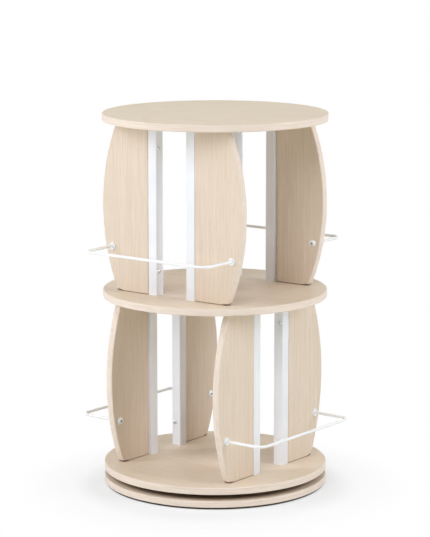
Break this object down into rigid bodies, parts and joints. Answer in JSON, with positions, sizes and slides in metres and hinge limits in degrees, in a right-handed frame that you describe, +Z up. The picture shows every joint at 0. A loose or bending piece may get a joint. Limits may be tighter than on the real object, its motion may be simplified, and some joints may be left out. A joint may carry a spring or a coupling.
{
  "type": "revolving bookcase",
  "caption": "Round two-tier bookcase that turns on a ball-bearing base, with bulged maple panels, white square posts and wire rails that hold books upright.",
  "frame": {"origin": "on the floor under the turning axis, at the middle of the base", "axes": "+Z up along the turning axis; the upper tier's walls run along X and the lower tier's along Y; -Y is the upper front rail's side"},
  "size_m": [0.47, 0.47, 0.7695],
  "materials": {
    "pale_maple": "satin laminate",
    "white_paint": "satin powder coat",
    "zinc_steel": "zinc plated",
    "race_steel": "galvanised",
    "ball_steel": "polished",
    "cage_plastic": "matte",
    "foot_rubber": "matte",
    "maple_cap": "matte",
    "dowel_beech": "raw"
  },
  "bodies": {
    "base": {"base_board": "pale_maple", "feet": "foot_rubber", "lower_race": "race_steel", "lower_race_screws": "zinc_steel"},
    "cage": {"ball_cage": "cage_plastic", "bearing_balls": "ball_steel"},
    "case": {"bottom_shelf": "pale_maple", "bottom_shelf_bolts": "zinc_steel", "lower_dowels": "dowel_beech", "lower_panel_left_back": "pale_maple", "lower_panel_left_front": "pale_maple", "lower_panel_right_back": "pale_maple", "lower_panel_right_front": "pale_maple", "lower_panel_screws": "zinc_steel", "lower_post_left_back": "white_paint", "lower_post_left_front": "white_paint", "lower_post_plugs": "zinc_steel", "lower_post_right_back": "white_paint", "lower_post_right_front": "white_paint", "lower_rail_bolts": "zinc_steel", "lower_rail_flanges": "white_paint", "lower_rail_left": "white_paint", "lower_rail_right": "white_paint", "middle_shelf": "pale_maple", "middle_shelf_bolts_down": "zinc_steel", "middle_shelf_bolts_up": "zinc_steel", "middle_shelf_caps": "maple_cap", "top_board": "pale_maple", "top_board_bolts": "zinc_steel", "top_board_caps": "maple_cap", "upper_dowels": "dowel_beech", "upper_panel_back_left": "pale_maple", "upper_panel_back_right": "pale_maple", "upper_panel_front_left": "pale_maple", "upper_panel_front_right": "pale_maple", "upper_panel_screws": "zinc_steel", "upper_post_back_left": "white_paint", "upper_post_back_right": "white_paint", "upper_post_front_left": "white_paint", "upper_post_front_right": "white_paint", "upper_post_plugs": "zinc_steel", "upper_race": "race_steel", "upper_race_screws": "zinc_steel", "upper_rail_back": "white_paint", "upper_rail_bolts": "zinc_steel", "upper_rail_flanges": "white_paint", "upper_rail_front": "white_paint"}
  },
  "joints": [
    {"name": "case_spin", "type": "hinge", "parent": "base", "child": "case", "pos_m": [0, 0, 0.02425], "axis": [0, 0, 1], "continuous": true},
    {"name": "cage_spin", "type": "hinge", "parent": "base", "child": "cage", "pos_m": [0, 0, 0.02425], "axis": [0, 0, 1], "continuous": true}
  ],
  "couplings": [
    {"joint": "cage_spin", "follows": "case_spin", "ratio": 0.5}
  ]
}
